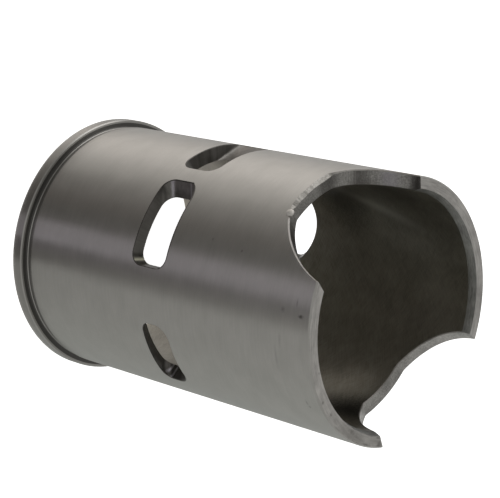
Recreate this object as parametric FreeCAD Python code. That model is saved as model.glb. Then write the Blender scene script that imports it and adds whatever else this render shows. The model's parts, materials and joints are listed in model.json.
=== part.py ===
import FreeCAD, Part
import math
import os

# Cylinder liner of a two-stroke engine, in millimetres.
# One turned casting: a plain sleeve with a seating flange at its head end, scavenge, boost and
# exhaust ports through its wall, and two notches in its skirt. It stands on its flange, so the
# head end is at z = 0, the skirt points up, and the Z axis is the axis of the bore. Angles are
# in degrees round from +X, the side of the boost port. The exhaust port is on the -X side.

# sleeve
bore_d = 70.0
body_d = 79.0
length = 124.3

# seating flange, and the relief beside it
flange_d = 83.1
flange_thickness = 4.2
flange_chamfer = 0.55
relief_width = 2.85
relief_depth = 0.25
relief_corner_r = 0.5

# ends of the bore and of the skirt
head_bore_chamfer = 0.5
lead_in_height = 2.4
lead_in_widening = 0.9
skirt_chamfer = 0.4

# scavenge ports, two on each side: angles of their two walls, each at the body and at the bore
scavenge_roof_z = 52.1
scavenge_height = 14.8
scavenge_corner_r = 3.9
rear_scavenge_walls = ((41.3, 41.9), (83.0, 77.9))
front_scavenge_walls = ((91.6, 94.0), (133.7, 119.7))

# boost port, which slopes down through the wall into the bore
boost_roof_z = 57.0
boost_height = 10.8
boost_half_angle = 16.6
boost_corner_r = 3.3
boost_slope_drop = 3.7

# exhaust port: a wide opening whose roof and floor are bowed
exhaust_roof_z = 41.5
exhaust_floor_z = 63.0
exhaust_width = 41.0
exhaust_roof_bow = 4.6
exhaust_floor_bow = 12.1
exhaust_corner_r = 4.0

# skirt notches, each milled from two directions, with an arc at each end of the floor
notch_depth = 20.3
notch_corner_r = 3.0
notch_boost_direction = 82.0
notch_boost_end_angle = 52.1
notch_exhaust_direction = 114.0
notch_exhaust_floor_angle = 106.7
notch_exhaust_end_angle = 128.6
notch_exhaust_arc_r = 22.4

# the arc on the boost side differs between the notches: angle where it leaves the floor, radius
near_notch_floor_angle = 79.5
near_notch_arc_r = 31.0
far_notch_floor_angle = 76.5
far_notch_arc_r = 28.3

# broken edges of the ports and notches, but the front scavenge ports are left sharp in the bore
outer_edge_break = 0.4
bore_edge_break = 0.3

# how far a cutting shape runs past the metal
overrun = 2.0

bore_r = bore_d / 2
body_r = body_d / 2
flange_r = flange_d / 2
ported_from_z = exhaust_roof_z - 2 * outer_edge_break
axis_foot = FreeCAD.Vector(0, 0, 0)
axis_up = FreeCAD.Vector(0, 0, 1)
tiny = 1e-4


def at(radius, angle, z=0.0):
    # point at a radius and an angle round from +X
    turn = math.radians(angle)
    return FreeCAD.Vector(radius * math.cos(turn), radius * math.sin(turn), z)


def turned(outline, joining_arc_middle=None):
    # a full turn of a closed outline of (radius, z) points, whose last side may be an arc
    points = [FreeCAD.Vector(r, 0, z) for r, z in outline]
    edges = [Part.makeLine(start, end) for start, end in zip(points, points[1:])]
    if joining_arc_middle:
        r, z = joining_arc_middle
        edges.append(Part.Arc(points[-1], FreeCAD.Vector(r, 0, z), points[0]).toShape())
    else:
        edges.append(Part.makeLine(points[-1], points[0]))
    return Part.Face(Part.Wire(edges)).revolve(axis_foot, axis_up, 360)


def sleeve_blank():
    # the sleeve and its flange, still overlong at the skirt, with a face of its own above the ports
    relief_r = body_r - relief_depth
    relief_end_z = flange_thickness + relief_width
    corner = relief_corner_r
    bend = corner * (1 - math.sqrt(0.5))
    outline = [
        (relief_r, flange_thickness + corner),
        (relief_r, relief_end_z - relief_depth),
        (body_r, relief_end_z),
        (body_r, ported_from_z),
        (body_r, length + overrun),
        (bore_r, length + overrun),
        (bore_r, ported_from_z),
        (bore_r, head_bore_chamfer),
        (bore_r + head_bore_chamfer, 0),
        (flange_r - flange_chamfer, 0),
        (flange_r, flange_chamfer),
        (flange_r, flange_thickness - flange_chamfer),
        (flange_r - flange_chamfer, flange_thickness),
        (relief_r + corner, flange_thickness),
    ]
    return turned(outline, joining_arc_middle=(relief_r + bend, flange_thickness + bend))


def skirt_turning():
    # what the last turning takes off at the skirt: it faces the end, chamfers it and cuts the lead-in
    top_z = length + 2 * overrun
    return turned([
        (body_r + overrun, top_z),
        (body_r + overrun, length - skirt_chamfer - overrun),
        (body_r - skirt_chamfer, length),
        (bore_r + lead_in_widening, length),
        (bore_r - lead_in_widening, length - 2 * lead_in_height),
        (bore_r - lead_in_widening, top_z),
    ])


def lengthwise(block):
    # the edges of a block that run along its X direction
    return [edge for edge in block.Edges if abs(edge.tangentAt(edge.FirstParameter).x) > 0.99]


def scavenge_wall(wall, middle_side):
    # everything on one side of a port wall, between roof and floor, with the wall's two corners round
    body_angle, bore_angle = wall
    bore_point = at(bore_r, bore_angle)
    outward = at(body_r, body_angle) - bore_point
    block = Part.makeBox(
        body_r + bore_r + overrun,
        body_r,
        scavenge_height,
        FreeCAD.Vector(-bore_r, min(0, middle_side * body_r), scavenge_roof_z),
    )
    corners = [edge for edge in lengthwise(block) if abs(edge.Vertexes[0].Y) < bore_r]
    block = block.makeFillet(scavenge_corner_r, corners)
    block.rotate(axis_foot, axis_up, math.degrees(math.atan2(outward.y, outward.x)))
    block.translate(bore_point)
    return block


def scavenge_port(walls):
    # cutting shape of a scavenge port on the +Y side: the space between its two walls
    first, last = walls
    return scavenge_wall(first, 1).common(scavenge_wall(last, -1))


def boost_port():
    # cutting shape of the boost port, whose roof and floor slope down into the bore
    slope = boost_slope_drop / (body_r - bore_r)
    section = []
    for radius, height in (
        (bore_r - overrun, 0),
        (body_r + overrun, 0),
        (body_r + overrun, boost_height),
        (bore_r - overrun, boost_height),
    ):
        section.append(at(radius, -boost_half_angle, boost_roof_z + height + slope * (radius - body_r)))
    face = Part.Face(Part.makePolygon(section + section[:1]))
    block = face.revolve(axis_foot, axis_up, 2 * boost_half_angle)
    lines = [edge for edge in block.Edges if isinstance(edge.Curve, Part.Line)]
    corners = [edge for edge in lines if abs(edge.tangentAt(edge.FirstParameter).z) < 0.99]
    return block.makeFillet(boost_corner_r, corners)


def exhaust_port():
    # cutting shape of the exhaust port, straight through the -X wall
    half = exhaust_width / 2
    x = -(body_r + overrun)
    roof_left = FreeCAD.Vector(x, -half, exhaust_roof_z + exhaust_roof_bow)
    roof_right = FreeCAD.Vector(x, half, exhaust_roof_z + exhaust_roof_bow)
    floor_left = FreeCAD.Vector(x, -half, exhaust_floor_z - exhaust_floor_bow)
    floor_right = FreeCAD.Vector(x, half, exhaust_floor_z - exhaust_floor_bow)
    outline = Part.Wire([
        Part.Arc(roof_left, FreeCAD.Vector(x, 0, exhaust_roof_z), roof_right).toShape(),
        Part.makeLine(roof_right, floor_right),
        Part.Arc(floor_right, FreeCAD.Vector(x, 0, exhaust_floor_z), floor_left).toShape(),
        Part.makeLine(floor_left, roof_left),
    ])
    block = Part.Face(outline).extrude(FreeCAD.Vector(body_r, 0, 0))
    return block.makeFillet(exhaust_corner_r, lengthwise(block))


def milled_end(direction, sideways, floor_angle, end_angle, arc_r):
    # everything above a notch's floor up to the arc at one end of it, milled in one direction
    floor_z = length - notch_depth
    outward = at(1, direction)
    across = at(1, direction + sideways)
    floor_edge = body_r * math.cos(math.radians(floor_angle - direction - sideways))
    end_edge = body_r * math.cos(math.radians(end_angle - direction - sideways))
    far_edge = -body_r
    open_z = length + 2 * overrun
    run = end_edge - floor_edge
    chord = math.hypot(run, notch_depth)
    bow = arc_r - math.sqrt(arc_r**2 - (chord / 2) ** 2)

    def place(t, z):
        return across * t + FreeCAD.Vector(0, 0, z)

    arc_middle = place(
        (floor_edge + end_edge) / 2 + bow * notch_depth / chord,
        (floor_z + length) / 2 - bow * run / chord,
    )
    corners = [
        place(end_edge, length),
        place(end_edge, open_z),
        place(far_edge, open_z),
        place(far_edge, floor_z),
        place(floor_edge, floor_z),
    ]
    edges = [Part.makeLine(start, end) for start, end in zip(corners, corners[1:])]
    edges.append(Part.Arc(corners[-1], arc_middle, corners[0]).toShape())
    block = Part.Face(Part.Wire(edges)).extrude(outward * (body_r + overrun))
    corner = Part.makeLine(corners[-1], corners[-1] + outward)
    floor_corners = [edge for edge in block.Edges if edge.common(corner).Length > tiny]
    return block.makeFillet(notch_corner_r, floor_corners)


def skirt_notch(boost_floor_angle, boost_arc_r):
    # cutting shape of a skirt notch on the +Y side
    boost_end = milled_end(
        notch_boost_direction, -90, boost_floor_angle, notch_boost_end_angle, boost_arc_r
    )
    exhaust_end = milled_end(
        notch_exhaust_direction,
        90,
        notch_exhaust_floor_angle,
        notch_exhaust_end_angle,
        notch_exhaust_arc_r,
    )
    return boost_end.common(exhaust_end).removeSplitter()


def mirrored(shape):
    # the same shape on the -Y side
    return shape.mirror(axis_foot, FreeCAD.Vector(0, 1, 0))


def opening_edges(solid, radius):
    # the edges that ports and notches leave on the body or in the bore
    edges = []
    for face in solid.Faces:
        if not isinstance(face.Surface, Part.Cylinder) or abs(face.Surface.Radius - radius) > tiny:
            continue
        low = min(vertex.Z for vertex in face.Vertexes) + tiny
        high = max(vertex.Z for vertex in face.Vertexes) - tiny
        for edge in face.Edges:
            heights = [vertex.Z for vertex in edge.Vertexes]
            if max(heights) > low and min(heights) < high and not edge.isSeam(face):
                edges.append(edge)
    return edges


def cylinder_liner():
    rear_port = scavenge_port(rear_scavenge_walls)
    front_port = scavenge_port(front_scavenge_walls)
    far_notch = skirt_notch(far_notch_floor_angle, far_notch_arc_r)
    near_notch = mirrored(skirt_notch(near_notch_floor_angle, near_notch_arc_r))
    liner = sleeve_blank().cut(
        [boost_port(), exhaust_port(), rear_port, mirrored(rear_port), far_notch, near_notch]
    )
    liner = liner.makeChamfer(bore_edge_break, opening_edges(liner, bore_r))
    liner = liner.cut([front_port, mirrored(front_port)])
    liner = liner.makeChamfer(outer_edge_break, opening_edges(liner, body_r))
    return liner.cut(skirt_turning())


os.makedirs("parts", exist_ok=True)
cylinder_liner().exportStep("parts/cylinder_liner.step")
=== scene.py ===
import json
import math
import random
import bmesh
import bpy
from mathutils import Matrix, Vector

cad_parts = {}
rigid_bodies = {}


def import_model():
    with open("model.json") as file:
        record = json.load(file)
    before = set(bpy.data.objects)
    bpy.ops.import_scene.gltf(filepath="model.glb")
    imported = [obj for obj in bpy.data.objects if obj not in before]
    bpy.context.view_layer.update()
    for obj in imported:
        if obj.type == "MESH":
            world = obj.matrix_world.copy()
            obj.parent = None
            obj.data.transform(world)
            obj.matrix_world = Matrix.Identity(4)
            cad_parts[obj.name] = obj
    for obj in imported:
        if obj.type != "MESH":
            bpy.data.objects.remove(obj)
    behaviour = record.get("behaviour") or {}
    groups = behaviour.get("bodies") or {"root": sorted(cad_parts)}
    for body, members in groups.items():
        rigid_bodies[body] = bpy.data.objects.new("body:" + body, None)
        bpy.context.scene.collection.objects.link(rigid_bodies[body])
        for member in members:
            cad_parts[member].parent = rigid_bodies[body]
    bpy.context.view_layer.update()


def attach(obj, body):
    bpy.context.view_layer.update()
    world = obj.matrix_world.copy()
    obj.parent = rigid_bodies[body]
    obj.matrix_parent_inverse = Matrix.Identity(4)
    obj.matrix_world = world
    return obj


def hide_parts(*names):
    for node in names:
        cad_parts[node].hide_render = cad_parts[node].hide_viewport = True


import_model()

mm = 0.001
print("frame loaded")


def linear(hexColour):
    # sRGB hex to the linear colour that the shaders take
    parts = [int(hexColour[i:i + 2], 16) / 255 for i in (0, 2, 4)]
    return [c / 12.92 if c <= 0.04045 else ((c + 0.055) / 1.055) ** 2.4 for c in parts] + [1.0]


def addNode(tree, kind, settings=None, links=None):
    # one node: its own settings, then sockets given a value or another node's output
    node = tree.nodes.new(kind)
    for name, value in (settings or {}).items():
        setattr(node, name, value)
    for name, value in (links or {}).items():
        socket = node.inputs[name]
        if isinstance(value, bpy.types.NodeSocket):
            tree.links.new(value, socket)
        else:
            socket.default_value = value
    return node


def emptyMaterial(name):
    material = bpy.data.materials.new(name)
    material.use_nodes = True
    material.node_tree.nodes.clear()
    return material, material.node_tree


def meshObject(name, points, faces, material=None):
    mesh = bpy.data.meshes.new(name)
    mesh.from_pydata(points, [], faces)
    mesh.update()
    piece = bpy.data.objects.new(name, mesh)
    bpy.context.scene.collection.objects.link(piece)
    if material:
        mesh.materials.append(material)
    return piece


def placeRound(angle, radius, height=0.0):
    # a point at an angle in degrees and a distance from the liner's axis
    a = math.radians(angle)
    return Vector((math.cos(a) * radius, math.sin(a) * radius, height))


# camera: the photograph's view of the skirt end, fitted to the circles of the liner (mm, degrees)
camera = {
    "place": (261.69, -287.59, 415.0),
    "turn": (-13.7366, -46.2180, 152.2172),
    "lens": 122.12,
    "sensor": 36.0,
    "nearest": 10.0,
}


def makeCamera():
    data = bpy.data.cameras.new("camera")
    data.lens = camera["lens"]
    data.sensor_width = camera["sensor"]
    data.clip_start = camera["nearest"] * mm
    eye = bpy.data.objects.new("camera", data)
    eye.location = Vector(camera["place"]) * mm
    eye.rotation_euler = [math.radians(a) for a in camera["turn"]]
    bpy.context.scene.collection.objects.link(eye)
    bpy.context.scene.camera = eye


makeCamera()
print("camera set")

# studio: a white floor, pale surroundings
studio = {
    "floorRadius": 3.0,  # in metres
    "floorSides": 96,
    "floorColour": "e8e8e6",
    "surroundColour": "bcbcba",
    "surroundStrength": 1.0,
}


def floorPaper():
    # white paper sweep: shows white to the eye and in the metal, takes a faint shadow
    material, tree = emptyMaterial("white paper")
    rays = addNode(tree, "ShaderNodeLightPath").outputs
    seen = rays["Is Camera Ray"]
    for name in ("Is Glossy Ray", "Is Transmission Ray"):
        seen = addNode(tree, "ShaderNodeMath", {"operation": "MAXIMUM"},
                       {0: seen, 1: rays[name]}).outputs[0]
    paper = addNode(tree, "ShaderNodeBsdfDiffuse", links={"Color": linear(studio["floorColour"])})
    glow = addNode(tree, "ShaderNodeEmission", links={"Strength": seen})
    both = addNode(tree, "ShaderNodeAddShader", links={0: paper.outputs[0], 1: glow.outputs[0]})
    addNode(tree, "ShaderNodeOutputMaterial", links={"Surface": both.outputs[0]})
    return material


def makeStudio():
    sides = studio["floorSides"]
    rim = [placeRound(360 * i / sides, studio["floorRadius"]) for i in range(sides)]
    floor = meshObject("floor", rim, [list(range(sides))], floorPaper())
    world = bpy.data.worlds.new("surroundings")
    world.use_nodes = True
    surround = world.node_tree.nodes["Background"].inputs
    surround["Color"].default_value = linear(studio["surroundColour"])
    surround["Strength"].default_value = studio["surroundStrength"]
    bpy.context.scene.world = world


makeStudio()

# grey cards round the liner's foot, which only the metal sees: they draw the bands along its body.
# Each card lies where the body between two angles looks, seen from the camera's side. One more
# stands at the far end of them, where the flange's chamfer looks, and a dark disc with a light
# crescent lies in the bore.
cards = {
    "cameraSide": -46.5,
    "reach": 700.0,
    "foot": 42.0,
    "height": 0.2,
    "step": 0.75,
    "tones": [(-137, "a19f9d"), (-128, "a1a09f"), (-122, "b7b7b6"), (-117, "adaba9"),
              (-112, "afaca9"), (-107, "d1ccc7"), (-100, "ece6e0"), (-93, "e1dcd8"),
              (-83, "bdbab6"), (-73, "868380"), (-62, "605c59"), (-57, "555351"),
              (-53.5, "5a5756"), (-48.5, "908c91"), (-43, "918d93"), (-39, "5f5b5e"),
              (-33.5, "62605e"), (-28, "9c9c9a"), (10, "a6a8a5"), (25, "9c9f9c"),
              (32, "939493"), (43, "8c8c8c")],
    "strength": 1.4,
    "upright": (60.0, 640.0),
    "uprightSteps": 8,
    "uprightGain": 1.5,
    "uprightTones": [(-168, "a1a1a0"), (-156, "ffffff"), (-134, "ffffff"), (-121, "a8a8a6"),
                     (-106, "5e5e5c"), (-85, "4a4a48"), (-60, "6a6a68")],
    "boreRadius": 34.3,
    "boreSteps": 24,
    "boreTone": "4d4c46",
    "boreGleam": {"tone": "b8b6b6", "from": 50, "to": 215, "inner": 14.0},
}


def cardMaterial():
    # card that shines evenly in the tone painted on it
    material, tree = emptyMaterial("grey card")
    tone = addNode(tree, "ShaderNodeAttribute", {"attribute_name": "tone"})
    glow = addNode(tree, "ShaderNodeEmission", links={"Color": tone.outputs["Color"],
                                                      "Strength": cards["strength"]})
    addNode(tree, "ShaderNodeOutputMaterial", links={"Surface": glow.outputs[0]})
    return material


def makeCards():
    points, tones, faces = [], [], []

    def spokes(stops, stepsOf, lineAt, blend, gain):
        # a strip of card: a line of two points at every small step between the stops
        first, last = len(points), stops[-1][0]
        stops = [(angle, Vector(linear(tone))) for angle, tone in stops]
        for (angle, tone), (nextAngle, nextTone) in zip(stops, stops[1:]):
            steps = stepsOf(nextAngle - angle)
            for i in range(steps + (nextAngle == last)):
                t = i / steps
                points.extend(lineAt(angle + (nextAngle - angle) * t))
                tones.extend([tone.lerp(nextTone, blend(t)) * gain] * 2)
        faces.extend((i, i + 1, i + 3, i + 2) for i in range(first, len(points) - 2, 2))

    def lyingLine(angle):
        start = placeRound(angle, cards["foot"])
        return start, start + placeRound(2 * angle - cards["cameraSide"], cards["reach"])

    def standingLine(angle):
        return [placeRound(angle, cards["foot"] + cards["reach"], z) for z in cards["upright"]]

    def ring(radius, start, stop, steps, tone):
        first = len(points)
        points.extend(placeRound(start + (stop - start) * i / steps, radius)
                      for i in range(steps + 1))
        tones.extend([linear(tone)] * (steps + 1))
        return list(range(first, len(points)))

    spokes(cards["tones"], lambda turn: max(2, round(turn / cards["step"])), lyingLine,
           lambda t: t * t * (3 - 2 * t), 1.0)
    spokes(cards["uprightTones"], lambda turn: cards["uprightSteps"], standingLine,
           lambda t: t, cards["uprightGain"])
    gleam, steps = cards["boreGleam"], cards["boreSteps"]
    for start, stop, tone in ((gleam["from"], gleam["to"], gleam["tone"]),
                              (gleam["to"], gleam["from"] + 360, cards["boreTone"])):
        outer = ring(cards["boreRadius"], start, stop, steps, tone)
        inner = ring(gleam["inner"], start, stop, steps, tone)
        faces.extend((inner[i], outer[i], outer[i + 1], inner[i + 1]) for i in range(steps))
    faces.append(ring(gleam["inner"], 0, 360 * (steps - 1) / steps, steps - 1, cards["boreTone"]))

    lift = Vector((0, 0, cards["height"]))
    piece = meshObject("grey cards", [(point + lift) * mm for point in points], faces,
                       cardMaterial())
    layer = piece.data.color_attributes.new("tone", "FLOAT_COLOR", "POINT")
    for item, tone in zip(layer.data, tones):
        item.color = tone
    piece.visible_camera = False
    piece.visible_diffuse = False
    piece.visible_shadow = False


makeCards()
print("studio built")

# grey cast iron in every finish: steel grey with a little warmth, satin, never quite clean.
# pitch is how far apart the marks lie and depth how deep they are, in mm. Real feed marks are 0.1
# to 0.2 mm apart and hone scratches 0.05 mm, too fine to show: drawn at about 0.4 mm they do.
# round is how far a ring runs before it changes, cloud how much the cloudiness shows.
ironFinishes = {
    # turned, then ground: fine rings, gloss drawn out along the axis
    "turned": {"light": "b1afab", "dark": "a8a6a2", "roughness": 0.33, "drawnOut": 0.95,
               "pattern": "rings", "pitch": 0.4, "round": 8.0, "depth": 0.0015},
    # flange rim: turned and left, duller
    "rim": {"light": "9c9a96", "dark": "93918d", "roughness": 0.33, "drawnOut": 0.95,
            "pattern": "rings", "pitch": 0.5, "round": 45.0, "depth": 0.0015},
    # honed bore: dark, oily, fine cross-hatch
    "honed": {"light": "a19d91", "dark": "817d74", "roughness": 0.4, "drawnOut": 0.0,
              "pattern": "hatch", "pitch": 0.4, "cloud": 0.5, "depth": 0.003},
    # lead-in: coarse turning marks, broken into short scratches
    "lead-in": {"light": "9d9d99", "dark": "747371", "roughness": 0.5, "drawnOut": 0.3,
                "pattern": "rings", "pitch": 0.45, "round": 2.2, "depth": 0.008},
    # faced end: dulled and stained by handling until the rings are nearly gone
    "faced": {"light": "c9c6c2", "dark": "a09d9a", "roughness": 0.5, "drawnOut": 0.0,
              "pattern": "rings", "pitch": 0.4, "round": 5.0, "depth": 0.004},
    # port walls: coarse cutter marks run through the wall; kept darker than the body as painted
    # shade inside the ports
    "wall": {"light": "7d7a77", "dark": "65635f", "roughness": 0.4, "drawnOut": 0.0,
             "pattern": "cutter", "pitch": 1.6, "depth": 0.01},
    # notch walls: sawn and dressed by hand, dull, grainy
    "notch wall": {"light": "bebcb8", "dark": "858380", "roughness": 0.55, "drawnOut": 0.0,
                   "pattern": "grain", "pitch": 0.5, "depth": 0.08},
    # the near notch's floor edge, filed roughly: light, coarse grain
    "filed edge": {"light": "b8b5b0", "dark": "8a8782", "roughness": 0.5, "drawnOut": 0.0,
                   "pattern": "grain", "pitch": 0.35, "depth": 0.05},
    # the burr beside it: torn bare metal, bright
    "burr": {"light": "dedbd6", "dark": "c9c6c1", "roughness": 0.65, "drawnOut": 0.0,
             "pattern": "grain", "pitch": 0.4, "depth": 0.01},
    # edges broken with a file: finely scratched round the notches, dark round the ports as painted
    # shade
    "broken edge": {"light": "96938f", "dark": "7c7975", "roughness": 0.45, "drawnOut": 0.0,
                    "pattern": "cutter", "pitch": 0.8, "depth": 0.004},
    "port edge": {"light": "5c5a57", "dark": "454340", "roughness": 0.4, "drawnOut": 0.0,
                  "pattern": "cutter", "pitch": 0.8, "depth": 0.004},
}
# what all the finishes share, sizes in mm
ironTexture = {
    "meanRadius": 37.0,  # where a way round the sleeve is measured
    "cloud": (8.0, 8.0, 6.0),  # patches of lighter and darker metal
    "toneSpan": (0.38, 0.62),  # the noise from all dark to all light
    "glossSpan": (0.3, 0.7),
    "glossChange": 0.03,
    "markLength": 12.0,  # of cutter marks and hone scratches, in pitches
    "climb": (0.87, 0.5),  # hone scratches climb round the bore at 30 degrees
    "raggedness": 0.7,
    "spotEdge": (0.5, 1.8),  # where a spot starts and ends to fade, in its half sizes
}
# marks of handling and wear, and painted light and shade, on a finish: tone, then for each mark
# its angle, its height (on the
# end face its radius), its half size round the sleeve and the other way, its strength, its slant
stainsAndPaintedLight = {
    "turned": [("1d1b19", [  # dried oil
        (-36.9, 121.0, 0.6, 1.0, 0.75), (-38.2, 114.3, 0.9, 0.8, 0.3),
        (-41.9, 119.0, 1.3, 0.4, 0.3), (-57.0, 94.6, 0.45, 0.4, 0.5),
        (-25.4, 113.6, 2.2, 0.5, 0.16), (-18.0, 111.8, 3.4, 0.5, 0.16),
        (2.2, 119.2, 1.2, 0.4, 0.35), (4.3, 119.6, 0.5, 0.5, 0.4),
        (-59.2, 82.4, 0.5, 0.5, 0.3)])],
    "faced": [("4a4743", [  # rust stains
        (9.8, 37.8, 0.7, 0.5, 0.5), (1.5, 38.3, 0.6, 0.5, 0.5), (27.7, 36.9, 1.4, 0.8, 0.4),
        (-37.4, 39.2, 0.9, 0.3, 0.5), (-26.6, 39.3, 0.7, 0.3, 0.5), (40.0, 38.8, 2.2, 0.5, 0.5),
        (-12.0, 36.4, 0.5, 0.4, 0.4), (18.0, 39.1, 1.6, 0.3, 0.4), (48.8, 38.3, 1.3, 1.2, 0.6),
        (47.5, 36.4, 1.2, 0.4, 0.45), (33.0, 39.1, 3.0, 0.3, 0.6), (42.0, 35.9, 3.0, 0.4, 0.5)]),
        # two broad darker patches: painted shade
        ("73706c", [(29.0, 37.6, 9.0, 3.0, 0.55), (44.0, 37.3, 6.0, 2.2, 0.4)])],
    "wall": [("e6e2ea", [  # painted highlights, glints on the port walls
        (-80.0, 54.7, 4.0, 0.7, 0.4), (-82.0, 62.1, 4.0, 0.3, 0.22),
        (15.8, 56.8, 1.2, 0.5, 0.8), (16.4, 58.8, 1.2, 0.5, 0.8)]),
        # an olive painted highlight
        ("c9c6b2", [(-43.0, 53.6, 3.0, 0.55, 1.0)]),
        # painted shade on the front port's wall
        ("3f3d39", [(-119.0, 61.5, 9.0, 8.0, 0.45)])],
    "notch wall": [("4a4744", [  # painted shade on the notch walls
        (-70.0, 109.0, 10.0, 6.0, 1.0), (-97.0, 104.0, 11.0, 3.0, 0.3),
        (-104.0, 104.5, 6.0, 4.0, 0.7), (-119.0, 108.0, 6.0, 3.8, 0.8),
        (-129.5, 123.0, 4.0, 2.6, 0.95), (-111.5, 107.5, 4.0, 3.0, 0.6),
        (-121.0, 116.0, 4.0, 4.0, 0.6), (-81.0, 106.0, 4.0, 4.0, 0.5)]),
        # a light purple patch, painted highlight
        ("bdb8c2", [(-126.0, 115.2, 4.5, 3.2, 0.35)])],
    "honed": [("1b1a16", [  # painted shade in the bore, then pale streaks that are painted highlights
        (66.0, 103.0, 10.0, 13.0, 1.0), (-168.0, 78.0, 16.0, 13.0, 0.6),
        (-145.0, 105.0, 14.0, 12.0, 0.4), (-176.0, 97.0, 9.0, 9.0, 0.3)]),
        # pale streak and patch: painted highlights
        ("e8e4da", [(-170.0, 94.0, 3.2, 16.0, 0.24, -0.46), (150.0, 110.0, 10.0, 9.0, 0.12)])],
}
# painted shade in the corner between flange and body, thinner along the relief: for each band
# where it starts, where it ends and its strength
cornerShade = {"tone": "1d1b19", "bands": [(4.2, 4.7, 0.75), (5.2, 7.0, 0.3)], "fade": 0.15,
              "flangeFrom": 40.6, "flangeFade": 0.1}
# the angle where the pattern closes, out of the ports' way
seamAngle = {"honed": -47.0, "lead-in": -47.0, "others": 133.0}


def sleevePlace(tree, seam):
    # a surface point as millimetres: way round the sleeve, height, distance from the axis
    where = addNode(tree, "ShaderNodeTexCoord").outputs["Object"]
    turned = addNode(tree, "ShaderNodeMapping", links={
        "Vector": where, "Rotation": (0, 0, math.radians(180 - seam)), "Scale": [1 / mm] * 3})
    part = addNode(tree, "ShaderNodeSeparateXYZ", links={"Vector": turned.outputs[0]}).outputs
    flat = addNode(tree, "ShaderNodeCombineXYZ", links={"X": part["X"], "Y": part["Y"]})
    radius = addNode(tree, "ShaderNodeVectorMath", {"operation": "LENGTH"}, {0: flat.outputs[0]})
    angle = addNode(tree, "ShaderNodeMath", {"operation": "ARCTAN2"}, {0: part["Y"], 1: part["X"]})
    around = addNode(tree, "ShaderNodeMath", {"operation": "MULTIPLY"},
                     {0: angle.outputs[0], 1: ironTexture["meanRadius"]})
    return {"around": around.outputs[0], "height": part["Z"], "radius": radius.outputs["Value"],
            "x": part["X"], "y": part["Y"]}


def noiseAt(tree, point, sizes, detail):
    # noise at a point, with grains of these three sizes in mm
    place = addNode(tree, "ShaderNodeCombineXYZ", links=dict(zip("XYZ", point)))
    grains = addNode(tree, "ShaderNodeVectorMath", {"operation": "DIVIDE"},
                     {0: place.outputs[0], 1: sizes})
    noise = addNode(tree, "ShaderNodeTexNoise", links={
        "Vector": grains.outputs[0], "Scale": 1.0, "Detail": detail, "Roughness": 0.6})
    return noise.outputs["Fac"]


def finishMarks(tree, look, place):
    # the fine marks that the tool left
    pitch, length = look["pitch"], look["pitch"] * ironTexture["markLength"]
    if look["pattern"] == "rings":  # change with height and radius, slowly round the sleeve
        ringwise = addNode(tree, "ShaderNodeMath", {"operation": "ADD"},
                           {0: place["height"], 1: place["radius"]})
        return noiseAt(tree, (place["x"], place["y"], ringwise.outputs[0]),
                       (look["round"], look["round"], pitch), detail=3)
    if look["pattern"] == "hatch":  # two sets of lines that cross
        flat = addNode(tree, "ShaderNodeCombineXYZ",
                       links={"X": place["around"], "Y": place["height"]}).outputs[0]
        run, rise = ironTexture["climb"]
        lines = []
        for climb in (rise, -rise):
            across, onward = [
                addNode(tree, "ShaderNodeVectorMath", {"operation": "DOT_PRODUCT"},
                        {0: flat, 1: way}).outputs["Value"]
                for way in ((climb, run, 0), (run, -climb, 0))]
            lines.append(noiseAt(tree, (across, onward, 0), (pitch, length, 1), detail=3))
        both = addNode(tree, "ShaderNodeMix", {"data_type": "FLOAT"},
                       {0: 0.5, 2: lines[0], 3: lines[1]})
        return both.outputs[0]
    # cutter marks run through the wall, grain doesn't
    return noiseAt(tree, (place["around"], place["height"], place["radius"]),
                   (pitch, pitch, length if look["pattern"] == "cutter" else pitch), detail=2)


def cornerShadeMask(tree, place):
    # how much painted shade the turned surface takes beside the flange
    fade, flange = cornerShade["fade"], cornerShade["flangeFrom"]
    body = addNode(tree, "ShaderNodeMapRange", {"interpolation_type": "SMOOTHSTEP"}, {
        "Value": place["radius"], "From Min": flange,
        "From Max": flange + cornerShade["flangeFade"], "To Min": 1.0, "To Max": 0.0})
    mask = 0.0
    for bottom, top, strength in cornerShade["bands"]:
        band = body.outputs["Result"]
        for start, end, low, high in ((bottom - fade, bottom, 0.0, strength),
                                      (top, top + fade, 1.0, 0.0)):
            side = addNode(tree, "ShaderNodeMapRange", {"interpolation_type": "SMOOTHSTEP"}, {
                "Value": place["height"], "From Min": start, "From Max": end,
                "To Min": low, "To Max": high})
            band = addNode(tree, "ShaderNodeMath", {"operation": "MULTIPLY"},
                           {0: band, 1: side.outputs["Result"]}).outputs[0]
        mask = addNode(tree, "ShaderNodeMath", {"operation": "MAXIMUM"},
                       {0: mask, 1: band}).outputs[0]
    return mask


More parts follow.
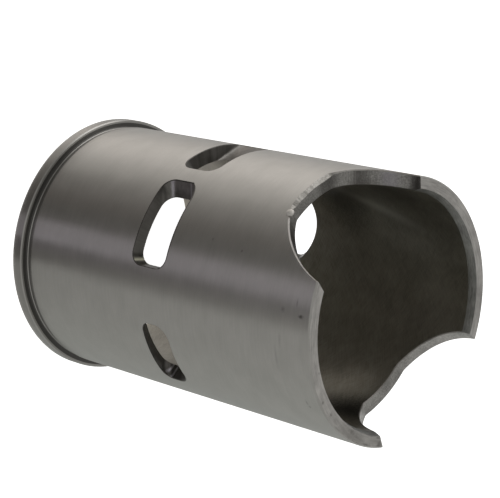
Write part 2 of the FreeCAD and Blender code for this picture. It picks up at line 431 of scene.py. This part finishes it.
def spotMask(tree, place, seam, other, spots):
    # soft ragged spots, the strongest where they meet
    grain, (fadeFrom, fadeTo) = ironTexture["raggedness"], ironTexture["spotEdge"]
    ragged = noiseAt(tree, (place["around"], place[other], 0), (grain, grain, 1), detail=3)
    mask = 0.0
    for angle, middle, wide, tall, strength, *slant in spots:
        way = math.radians((angle - seam) % 360 - 180) * ironTexture["meanRadius"]
        around = place["around"]
        if slant:
            way -= slant[0] * middle
            around = addNode(tree, "ShaderNodeMath", {"operation": "MULTIPLY_ADD"},
                             {0: place[other], 1: -slant[0], 2: around}).outputs[0]
        flat = addNode(tree, "ShaderNodeCombineXYZ", links={"X": around, "Y": place[other]})
        off = addNode(tree, "ShaderNodeMapping", {"vector_type": "TEXTURE"}, {
            "Vector": flat.outputs[0], "Location": (way, middle, 0), "Scale": (wide, tall, 1)})
        far = addNode(tree, "ShaderNodeVectorMath", {"operation": "LENGTH"}, {0: off.outputs[0]})
        edge = addNode(tree, "ShaderNodeMath", {"operation": "ADD"},
                       {0: far.outputs["Value"], 1: ragged})
        spot = addNode(tree, "ShaderNodeMapRange", {"interpolation_type": "SMOOTHSTEP"}, {
            "Value": edge.outputs[0], "From Min": fadeFrom, "From Max": fadeTo,
            "To Min": strength, "To Max": 0.0})
        mask = addNode(tree, "ShaderNodeMath", {"operation": "MAXIMUM"},
                       {0: mask, 1: spot.outputs["Result"]}).outputs[0]
    return mask


def ironMaterial(name):
    look = ironFinishes[name]
    material, tree = emptyMaterial("cast iron " + name)
    seam = seamAngle.get(name, seamAngle["others"])
    place = sleevePlace(tree, seam)
    marks = finishMarks(tree, look, place)
    # cloudiness a few millimetres across, under the fine marks
    cloud = noiseAt(tree, (place["x"], place["y"], place["height"]), ironTexture["cloud"],
                    detail=4)
    weight = look.get("cloud", 1.0)
    shade = addNode(tree, "ShaderNodeMix", {"data_type": "FLOAT"},
                    {0: weight / (1 + weight), 2: marks, 3: cloud})
    dark, light = ironTexture["toneSpan"]
    tone = addNode(tree, "ShaderNodeMapRange", links={
        "Value": shade.outputs[0], "From Min": dark, "From Max": light})
    # each tone lies over the ones before it
    layers = [(tone.outputs["Result"], look["light"])]
    if name == "turned":
        # painted shade in the corner beside the flange
        layers.append((cornerShadeMask(tree, place), cornerShade["tone"]))
    # stains, and painted highlights and shade, each tone over the ones before
    for spotTone, spots in stainsAndPaintedLight.get(name, []):
        other = "radius" if name == "faced" else "height"
        layers.append((spotMask(tree, place, seam, other, spots), spotTone))
    surface = linear(look["dark"])
    for mask, colour in layers:
        surface = addNode(tree, "ShaderNodeMix", {"data_type": "RGBA"},
                          {0: mask, 6: surface, 7: linear(colour)}).outputs[2]
    smooth, rough = ironTexture["glossSpan"]
    gloss = addNode(tree, "ShaderNodeMapRange", links={
        "Value": marks, "From Min": smooth, "From Max": rough,
        "To Min": look["roughness"] - ironTexture["glossChange"],
        "To Max": look["roughness"] + ironTexture["glossChange"]})
    bump = addNode(tree, "ShaderNodeBump", links={
        "Strength": 1.0, "Distance": look["depth"] * mm, "Height": marks})
    links = {
        "Base Color": surface,
        "Metallic": 1.0,
        "Roughness": gloss.outputs["Result"],
        "Normal": bump.outputs["Normal"],
    }
    if look["drawnOut"]:
        # a quarter turn from the rings: the gloss is drawn out along the axis
        tangent = addNode(tree, "ShaderNodeTangent", {"direction_type": "RADIAL", "axis": "Z"})
        links.update({"Anisotropic": look["drawnOut"], "Anisotropic Rotation": 0.25,
                      "Tangent": tangent.outputs[0]})
    metal = addNode(tree, "ShaderNodeBsdfPrincipled", links=links)
    addNode(tree, "ShaderNodeOutputMaterial", links={"Surface": metal.outputs[0]})
    return material


# liner: one turned sleeve with a flange, its ports and skirt notches cut through the wall
# (mm, degrees)
liner = {
    "boreRadius": 35.0,
    "bodyRadius": 39.5,
    "length": 124.3,
    "flangeRadius": 41.55,
    "flangeThickness": 4.35,
    "flangeChamfer": 0.35,
    "footChamfer": 0.55,
    "reliefWidth": 2.7,
    "reliefDepth": 0.25,
    "reliefCorner": 0.35,
    "reliefCornerSteps": 6,
    "reliefLip": 2.0,
    "lipUndercut": 0.2,
    "lipRun": 0.3,
    "headChamfer": 0.5,
    "leadInHeight": 2.4,
    "leadInWidening": 0.9,
    "skirtChamfer": 0.4,
    "notchBreak": 0.3,
    "portBreak": 0.2,
    "boreBreak": 0.25,
    "overrun": 2.0,
    "segments": 720,
    "sharpFrom": 28.0,
    "weld": 0.001,  # corners this close become one
    "endWithin": 0.01,  # a face this close to the skirt's end belongs to it
    "rimWithin": 0.1,
    "roundWithin": 0.002,  # how much a cylinder's face may differ in radius
    "uprightWithin": 0.001,  # and how far its normal may lean
}

# finishes that the cutters leave, as numbers on their faces
finishes = {"turned": 0, "wall": 1, "broken edge": 2, "notch wall": 3, "filed edge": 4,
            "port edge": 5, "burr": 6}


def sectionPoints():
    # the liner's section at one side: (radius, height), round once
    s = liner
    reliefRadius = s["bodyRadius"] - s["reliefDepth"]
    reliefEnd = s["flangeThickness"] + s["reliefWidth"]
    corner = []
    for i in range(s["reliefCornerSteps"] + 1):
        a = math.pi / 2 * i / s["reliefCornerSteps"]
        corner.append((reliefRadius + s["reliefCorner"] * (1 - math.sin(a)),
                       s["flangeThickness"] + s["reliefCorner"] * (1 - math.cos(a))))
    return [
        (s["boreRadius"] + s["headChamfer"], 0),
        (s["flangeRadius"] - s["footChamfer"], 0),
        (s["flangeRadius"], s["footChamfer"]),
        (s["flangeRadius"], s["flangeThickness"] - s["flangeChamfer"]),
        (s["flangeRadius"] - s["flangeChamfer"], s["flangeThickness"]),
        *corner,
        (reliefRadius, reliefEnd - s["reliefLip"] - s["lipRun"]),
        (reliefRadius - s["lipUndercut"], reliefEnd - s["reliefLip"]),
        (s["bodyRadius"], reliefEnd),
        (s["bodyRadius"], s["length"] - s["skirtChamfer"]),
        (s["bodyRadius"] - s["skirtChamfer"], s["length"]),
        (s["boreRadius"] + s["leadInWidening"], s["length"]),
        (s["boreRadius"], s["length"] - s["leadInHeight"]),
        (s["boreRadius"], s["headChamfer"]),
    ]


def sectionCurve():
    # the tree turns this curve round the bore, so its X starts at the bore
    data = bpy.data.curves.new("liner section", "CURVE")
    data.dimensions = "3D"
    spline = data.splines.new("POLY")
    points = sectionPoints()
    spline.points.add(len(points) - 1)
    for point, (radius, height) in zip(spline.points, points):
        # the ring turns it over
        point.co = ((radius - liner["boreRadius"]) * mm, -height * mm, 0, 1)
    spline.use_cyclic_u = True
    section = bpy.data.objects.new("liner section", data)
    bpy.context.scene.collection.objects.link(section)
    return section


# ports: angles of the two walls at the body and at the bore, height of the roof, way to the
# floor, which is the skirt side
ports = {
    "rearScavenge": {"walls": ((41.3, 41.9), (83.0, 77.9)), "roof": 52.5, "height": 13.9,
                     "corner": 3.9, "flatCorner": (8.0, 6.4)},
    "frontScavenge": {"walls": ((91.6, 94.0), (133.7, 119.7)), "roof": 52.5, "height": 13.9,
                      "corner": 3.9, "boreBreak": 0.0},
    "boost": {"walls": ((-16.0, -15.8), (16.2, 16.2)), "roof": 57.15, "height": 10.4,
              "corner": 2.8, "floorCorner": 5.0, "slope": 3.5, "boreBreak": 0.1},
}
exhaust = {"roof": 41.5, "floor": 63.0, "width": 41.0, "roofBow": 4.6, "floorBow": 12.1,
           "corner": 4.0}
notch = {
    "depth": 20.3,
    "boostDirection": 82.0,
    "boostEnd": 52.1,
    "exhaustDirection": 114.0,
    "exhaustFloor": 106.7,
    "exhaustEnd": 128.6,
    "exhaustArc": 22.4,
    "exhaustCorner": 3.0,
}
notchFar = {"boostFloor": 76.5, "boostArc": 28.3, "boostCorner": 3.0}
notchNear = {"boostFloor": 79.5, "boostArc": 31.0, "boostCorner": 0.6}

# how finely the openings are drawn, and how far their flared edges run past the metal
cutting = {"portCorner": 12, "portSide": 24, "exhaustBow": 40, "exhaustCorner": 10,
           "notchCorner": 8, "notchArc": 30, "notchFloor": 60, "flare": 0.5, "reach": 1.6}

# edges that are broken wider than the others, between two points of the outline on the body
scavengeFloorEdge = {"points": (74, 118), "extra": 0.45}
nearArcEdge = {"points": (150, 198), "extra": 0.1}
# the near notch's floor edge is filed roughly: wide, uneven, running out at both ends, with a
# grain up to point grainTo where it is wider than the others by more than grainFrom
filedEdge = {"points": (1, 72), "extra": 0.75, "uneven": 0.3, "follow": 0.7, "runIn": 6,
             "runOut": 16, "grainTo": 66, "grainFrom": 0.1, "seed": 7}
# the burr that the cutter left at the near notch: half sizes out of the wall, round it, along it
burr = {"angle": -77.8, "radius": 39.45, "height": 104.4, "size": (0.8, 1.2, 1.3)}


def wallAngle(wall, radius):
    # where a straight port wall stands at a radius
    bodyAngle, boreAngle = (math.radians(a) for a in wall)
    outer = Vector((math.cos(bodyAngle), math.sin(bodyAngle))) * liner["bodyRadius"]
    inner = Vector((math.cos(boreAngle), math.sin(boreAngle))) * liner["boreRadius"]
    way = outer - inner
    a, b, c = way.dot(way), 2 * inner.dot(way), inner.dot(inner) - radius**2
    point = inner + way * ((-b + math.sqrt(b * b - 4 * a * c)) / (2 * a))
    return math.atan2(point.y, point.x)


def circlePoints(centre, radius, start, end, count):
    # points round a circle from one angle to another, in radians
    return [centre + Vector((math.cos(a), math.sin(a))) * radius
            for a in (start + (end - start) * i / count for i in range(count + 1))]


def along(start, end, parts):
    # points of a straight run, without its end
    return [start.lerp(end, i / parts) for i in range(parts)]


def scavengeOutline(port, radius):
    # rounded window between two walls, as (way round the sleeve, height), anticlockwise
    left, right = (wallAngle(wall, radius) * radius for wall in port["walls"])
    lift = (port.get("slope", 0) / (liner["bodyRadius"] - liner["boreRadius"])
            * (radius - liner["bodyRadius"]))
    low, high = port["roof"] + lift, port["roof"] + port["height"] + lift
    r, s = port["corner"], port.get("floorCorner", port["corner"])
    steps, quarter = cutting["portCorner"], math.pi / 2
    corners = []
    for x, y, turn, start in ((left + r, low + r, r, math.pi),
                              (right - r, low + r, r, 1.5 * math.pi),
                              (right - s, high - s, s, 0),
                              (left + s, high - s, s, quarter)):
        corners.append(circlePoints(Vector((x, y)), turn, start, start + quarter, steps))
    if "flatCorner" in port:  # the cutter's wide arc runs out into the wall
        arc, reach = port["flatCorner"]
        corners[2] = circlePoints(Vector((right - reach, high - arc)), arc,
                                  math.acos(reach / arc), quarter, steps)
    points = []
    for i, corner in enumerate(corners):
        points += corner[:-1]
        points += along(corner[-1], corners[(i + 1) % 4][0], cutting["portSide"])
    return points


def exhaustOutline(radius):
    # wide window with a bowed roof and floor, cut straight through the wall
    half, r = exhaust["width"] / 2, exhaust["corner"]
    runs, turns = [], []
    for middle, bow, side in ((exhaust["roof"], exhaust["roofBow"], -1),
                              (exhaust["floor"], exhaust["floorBow"], 1)):
        arc = (half**2 + bow**2) / (2 * bow)
        centre = Vector((0, middle - side * arc))
        corner = Vector((half - r, centre.y + side * math.sqrt((arc - r)**2 - (half - r)**2)))
        meeting = math.atan2(corner.y - centre.y, corner.x - centre.x)
        runs.append(circlePoints(centre, arc, meeting, side * math.pi - meeting,
                                 cutting["exhaustBow"]))
        turns.append(circlePoints(corner, r, 0, meeting, cutting["exhaustCorner"]))
    roofRun, floorRun = runs
    roofTurn, floorTurn = turns
    plan = (roofRun[:0:-1] + roofTurn[::-1] + floorTurn[:-1] + floorRun[:-1]
            + [Vector((-p.x, p.y)) for p in floorTurn[::-1] + roofTurn[:-1]])
    return [Vector((radius * (math.pi + math.asin(p.x / radius)), p.y)) for p in plan]


def milledEnd(floor, end, arc, corner):
    # one end of a notch across its milling direction: rounded corner on the floor, arc up to
    # the skirt
    floorZ, top = liner["length"] - notch["depth"], liner["length"]
    start, stop = Vector((floor, floorZ)), Vector((end, top))
    chord = stop - start
    out = Vector((chord.y, -chord.x)).normalized()
    centre = (start + stop) / 2 - out * math.sqrt(arc**2 - (chord.length / 2)**2)
    turnCentre = Vector((0, floorZ + corner))
    turnCentre.x = centre.x + math.sqrt((arc - corner)**2 - (turnCentre.y - centre.y)**2)
    meeting = math.atan2(turnCentre.y - centre.y, turnCentre.x - centre.x)
    stopAngle = math.atan2(stop.y - centre.y, stop.x - centre.x)
    turn = circlePoints(turnCentre, corner, -math.pi / 2, meeting, cutting["notchCorner"])
    rise = circlePoints(centre, arc, meeting, stopAngle, cutting["notchArc"])
    return turn[:-1] + rise + [Vector((end, top + 2 * liner["overrun"]))]


def notchOutline(ends, radius):
    # notch in the skirt, as (way round the sleeve, height), anticlockwise
    def across(direction, angle):
        return liner["bodyRadius"] * math.cos(math.radians(angle - direction))

    boostSide, exhaustSide = notch["boostDirection"] - 90, notch["exhaustDirection"] + 90
    boost = milledEnd(across(boostSide, ends["boostFloor"]), across(boostSide, notch["boostEnd"]),
                      ends["boostArc"], ends["boostCorner"])
    rear = milledEnd(across(exhaustSide, notch["exhaustFloor"]),
                     across(exhaustSide, notch["exhaustEnd"]),
                     notch["exhaustArc"], notch["exhaustCorner"])
    left = [Vector((radius * (math.radians(boostSide) + math.acos(p.x / radius)), p.y))
            for p in boost]
    right = [Vector((radius * (math.radians(exhaustSide) - math.acos(p.x / radius)), p.y))
             for p in rear]
    floorRun = along(left[0], right[0], cutting["notchFloor"])
    topRun = along(right[-1], left[-1], cutting["notchFloor"])
    return floorRun + right[:-1] + topRun + left[:0:-1]


def grown(points, amounts):
    # an outline that runs anticlockwise, moved outwards
    result = []
    for i, point in enumerate(points):
        onward = (points[(i + 1) % len(points)] - point).normalized()
        way = onward + (point - points[i - 1]).normalized()
        result.append(point + Vector((way.y, -way.x)).normalized() * amounts[i])
    return result


def cutter(name, outlineAt, boreBreak, mirror=False, wall="wall", edgeFinish="port edge",
           extra=None, edge=liner["portBreak"], filed=False):
    # cutting shape of an opening: its outline at a few radii, flared where the edges are broken;
    # extra widens the broken edge on the body point by point, and deepens it where it is filed
    bore, body, flare = liner["boreRadius"], liner["bodyRadius"], cutting["flare"]
    innerFlare = boreBreak + flare if boreBreak else 0
    count = len(outlineAt(body))
    widths = [edge + (extra or {}).get(i, 0) for i in range(count)]
    depths = widths if filed else [edge] * count
    outerFlare = [width * (1 + flare / depth) for width, depth in zip(widths, depths)]
    rings = [
        (bore - flare, [innerFlare] * count, [bore - liner["overrun"]] * count),
        (bore - flare, [innerFlare] * count, [bore - flare] * count),
        (bore + boreBreak, [0] * count, [bore + boreBreak] * count),
        (body - edge, [0] * count, [body - depth for depth in depths]),
        (body + flare, outerFlare, [body + flare] * count),
        (body + flare, outerFlare, [body * cutting["reach"]] * count),
    ]
    bands = [edgeFinish, edgeFinish, wall, edgeFinish, edgeFinish]
    points = []
    for radius, growths, placedAt in rings:
        for p, at in zip(grown(outlineAt(radius), growths), placedAt):
            a = p.x / radius
            side = -1 if mirror else 1
            points.append((at * math.cos(a) * mm, at * math.sin(a) * mm * side, p.y * mm))
    faces, kinds = [], []
    for ring, band in enumerate(bands):
        for i in range(count):
            near, j = ring * count, (i + 1) % count
            faces.append((near + i, near + j, near + count + j, near + count + i))
            grainy = (filed and ring == 3 and i < filedEdge["grainTo"]
                      and widths[i] > edge + filedEdge["grainFrom"])
            kinds.append(finishes["filed edge" if grainy else band])
    faces += [tuple(range(count)), tuple(range(len(points) - count, len(points)))]
    kinds += [finishes[wall]] * 2
    piece = meshObject(name, points, faces)
    piece.data.attributes.new("finish", "INT", "FACE").data.foreach_set("value", kinds)
    mesh = bmesh.new()
    mesh.from_mesh(piece.data)
    bmesh.ops.triangulate(mesh, faces=mesh.faces[:])
    bmesh.ops.recalc_face_normals(mesh, faces=mesh.faces[:])
    mesh.to_mesh(piece.data)
    mesh.free()
    return piece


def nearNotchExtra():
    # how much wider the near notch's edge is broken, point by point
    first, stop = nearArcEdge["points"]
    extra = {i: nearArcEdge["extra"] for i in range(first, stop)}
    first, stop = filedEdge["points"]
    dice, last = random.Random(filedEdge["seed"]), 0.0
    for i in range(first, stop):
        fresh = dice.uniform(-filedEdge["uneven"], filedEdge["uneven"])
        last = filedEdge["follow"] * last + (1 - filedEdge["follow"]) * fresh
        fade = min(1, (i - first + 1) / filedEdge["runIn"], (stop - i) / filedEdge["runOut"])
        extra[i] = max(0.0, (filedEdge["extra"] + last) * fade)
    return extra


def makeCutters():
    # the scavenge ports and the notches are on both sides, the boost port is at the back alone
    start, stop = scavengeFloorEdge["points"]
    floorExtra = {i: scavengeFloorEdge["extra"]
                  * math.sin(math.pi * (i - start) / (stop - start)) ** 0.5
                  for i in range(start + 1, stop)}
    pieces = []
    for name, port in ports.items():
        boost = name == "boost"
        for mirror in (False,) if boost else (False, True):
            pieces.append(cutter(name + (" near" if mirror else " far"),
                                 lambda r, port=port: scavengeOutline(port, r),
                                 port.get("boreBreak", liner["boreBreak"]), mirror,
                                 extra=None if boost else floorExtra))
    pieces.append(cutter("exhaust", exhaustOutline, liner["boreBreak"]))
    for name, ends, near in (("notch far", notchFar, False), ("notch near", notchNear, True)):
        pieces.append(cutter(name, lambda r, ends=ends: notchOutline(ends, r), liner["boreBreak"],
                             near, "notch wall", "broken edge", nearNotchExtra() if near else None,
                             liner["notchBreak"], filed=near))
    group = bpy.data.collections.new("port cutters")
    for piece in pieces:
        bpy.context.scene.collection.objects.unlink(piece)
        group.objects.link(piece)
    return group


def linerTree(materials):
    # turns the section round the bore, cuts the ports and notches, keeps the broken edges crisp
    tree = bpy.data.node_groups.new("turned liner", "GeometryNodeTree")
    tree.is_modifier = True
    face = tree.interface
    face.new_socket("Geometry", in_out="OUTPUT", socket_type="NodeSocketGeometry")
    inputs = {}
    for name, kind in (("Section", "Object"), ("Cutters", "Collection"), ("Segments", "Int"),
                       ("Bore radius", "Float"), ("Wall middle", "Float"),
                       ("Rim radius", "Float"), ("Lead-in foot", "Float"),
                       ("Skirt end", "Float"), ("Sharp from", "Float")):
        inputs[name] = face.new_socket(name, in_out="INPUT",
                                       socket_type="NodeSocket" + kind).identifier
    given = addNode(tree, "NodeGroupInput").outputs

    ring = addNode(tree, "GeometryNodeCurvePrimitiveCircle", links={
        "Resolution": given["Segments"], "Radius": given["Bore radius"]})
    section = addNode(tree, "GeometryNodeObjectInfo", links={"Object": given["Section"]})
    blank = addNode(tree, "GeometryNodeCurveToMesh", links={
        "Curve": ring.outputs["Curve"], "Profile Curve": section.outputs["Geometry"]})
    cutters = addNode(tree, "GeometryNodeCollectionInfo", links={"Collection": given["Cutters"]})
    solid = addNode(tree, "GeometryNodeRealizeInstances",
                    links={"Geometry": cutters.outputs["Instances"]})
    ported = addNode(tree, "GeometryNodeMeshBoolean",
                     {"operation": "DIFFERENCE", "solver": "EXACT"},
                     {"Mesh 1": blank.outputs["Mesh"], "Mesh 2": solid.outputs["Geometry"]})

    # the burr, a small lump that carries its own finish
    ball = addNode(tree, "GeometryNodeMeshIcoSphere", links={"Radius": mm, "Subdivisions": 3})
    lump = addNode(tree, "GeometryNodeTransform", links={
        "Geometry": ball.outputs["Mesh"], "Scale": burr["size"],
        "Rotation": (0, 0, math.radians(burr["angle"])),
        "Translation": placeRound(burr["angle"], burr["radius"], burr["height"]) * mm})
    marked = addNode(tree, "GeometryNodeStoreNamedAttribute",
                     {"data_type": "INT", "domain": "FACE"},
                     {"Geometry": lump.outputs["Geometry"], "Name": "finish",
                      "Value": finishes["burr"]})
    burred = addNode(tree, "GeometryNodeMeshBoolean", {"operation": "UNION", "solver": "EXACT"},
                     {"Mesh 2": ported.outputs["Mesh"]})
    tree.links.new(marked.outputs["Geometry"], burred.inputs["Mesh 2"])
    welded = addNode(tree, "GeometryNodeMergeByDistance", links={
        "Geometry": burred.outputs["Mesh"], "Distance": liner["weld"] * mm})

    # smooth faces, crisp edges
    smooth = addNode(tree, "GeometryNodeSetShadeSmooth", {"domain": "FACE"},
                     {"Geometry": welded.outputs["Geometry"], "Shade Smooth": True})
    bend = addNode(tree, "GeometryNodeInputMeshEdgeAngle")
    sharp = addNode(tree, "FunctionNodeCompare",
                    {"data_type": "FLOAT", "operation": "GREATER_THAN"},
                    {0: bend.outputs["Unsigned Angle"], 1: given["Sharp from"]})
    crisp = addNode(tree, "GeometryNodeSetShadeSmooth", {"domain": "EDGE"},
                    {"Geometry": smooth.outputs["Geometry"], "Selection": sharp.outputs["Result"],
                     "Shade Smooth": False})

    # which surface a face belongs to, from its place on the blank or from its cutter
    place = addNode(tree, "GeometryNodeInputPosition")
    split = addNode(tree, "ShaderNodeSeparateXYZ", links={"Vector": place.outputs[0]}).outputs
    flat = addNode(tree, "ShaderNodeCombineXYZ", links={"X": split["X"], "Y": split["Y"]})
    out = addNode(tree, "ShaderNodeVectorMath", {"operation": "LENGTH"},
                  {0: flat.outputs[0]}).outputs["Value"]
    inside, high, atEnd, atRim = [
        addNode(tree, "FunctionNodeCompare", {"data_type": "FLOAT", "operation": operation},
                {0: value, 1: limit}).outputs["Result"]
        for operation, value, limit in (("LESS_THAN", out, given["Wall middle"]),
                                        ("GREATER_THAN", split["Z"], given["Lead-in foot"]),
                                        ("GREATER_THAN", split["Z"], given["Skirt end"]),
                                        ("GREATER_THAN", out, given["Rim radius"]))]
    leadIn = addNode(tree, "FunctionNodeBooleanMath", {"operation": "AND"}, {0: inside, 1: high})
    steps = [("turned", True), ("honed", inside), ("lead-in", leadIn.outputs[0]),
             ("faced", atEnd), ("rim", atRim)]
    cut = addNode(tree, "GeometryNodeInputNamedAttribute", {"data_type": "INT"},
                  {"Name": "finish"}).outputs["Attribute"]
    for name, number in finishes.items():
        if name != "turned":
            leftBy = addNode(tree, "FunctionNodeCompare",
                             {"data_type": "INT", "operation": "EQUAL"}, {2: cut, 3: number})
            steps.append((name, leftBy.outputs["Result"]))
    geometry = addNode(tree, "GeometryNodeRealizeInstances",
                       links={"Geometry": crisp.outputs["Geometry"]}).outputs["Geometry"]
    for name, selection in steps:
        geometry = addNode(tree, "GeometryNodeSetMaterial", links={
            "Geometry": geometry, "Selection": selection,
            "Material": materials[name]}).outputs["Geometry"]
    addNode(tree, "NodeGroupOutput", links={"Geometry": geometry})
    return tree, inputs


def straightNormals(mesh):
    # the cuts leave long thin faces: body, flange and bore get the normals of true cylinders
    normals = [Vector(item.vector) for item in mesh.corner_normals]
    for face in mesh.polygons:
        places = [mesh.vertices[mesh.loops[i].vertex_index].co.xy for i in face.loop_indices]
        lengths = [place.length for place in places]
        leans = abs(face.normal.z) > liner["uprightWithin"]
        if leans or max(lengths) - min(lengths) > liner["roundWithin"] * mm:
            continue
        side = 1 if face.normal.xy.dot(places[0]) > 0 else -1
        for i, place in zip(face.loop_indices, places):
            normals[i] = (place.normalized() * side).to_3d()
    mesh.normals_split_custom_set(normals)


def makeLiner(materials):
    tree, inputs = linerTree(materials)
    section, cutters = sectionCurve(), makeCutters()
    bpy.context.scene.collection.children.link(cutters)
    holder = meshObject("liner build", [(0, 0, 0)], [])
    modifier = holder.modifiers.new("turned liner", "NODES")
    modifier.node_group = tree
    for name, value in {
        "Section": section,
        "Cutters": cutters,
        "Segments": liner["segments"],
        "Bore radius": liner["boreRadius"] * mm,
        "Wall middle": (liner["boreRadius"] + liner["bodyRadius"]) / 2 * mm,
        "Rim radius": (liner["flangeRadius"] - liner["rimWithin"]) * mm,
        "Lead-in foot": (liner["length"] - liner["leadInHeight"]) * mm,
        "Skirt end": (liner["length"] - liner["endWithin"]) * mm,
        "Sharp from": math.radians(liner["sharpFrom"]),
    }.items():
        modifier[inputs[name]] = value
    built = holder.evaluated_get(bpy.context.evaluated_depsgraph_get())
    mesh = bpy.data.meshes.new_from_object(built)
    mesh.name = "liner"
    piece = bpy.data.objects.new("liner", mesh)
    bpy.context.scene.collection.objects.link(piece)
    straightNormals(mesh)
    for scrap in [holder, section, *cutters.objects]:
        bpy.data.objects.remove(scrap)
    bpy.data.collections.remove(cutters)
    return piece


linerPiece = makeLiner({name: ironMaterial(name) for name in ironFinishes})
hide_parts("cylinder_liner")
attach(linerPiece, "root")
print("liner built:", len(linerPiece.data.polygons), "faces")

bpy.context.scene.view_settings.view_transform = "Standard"
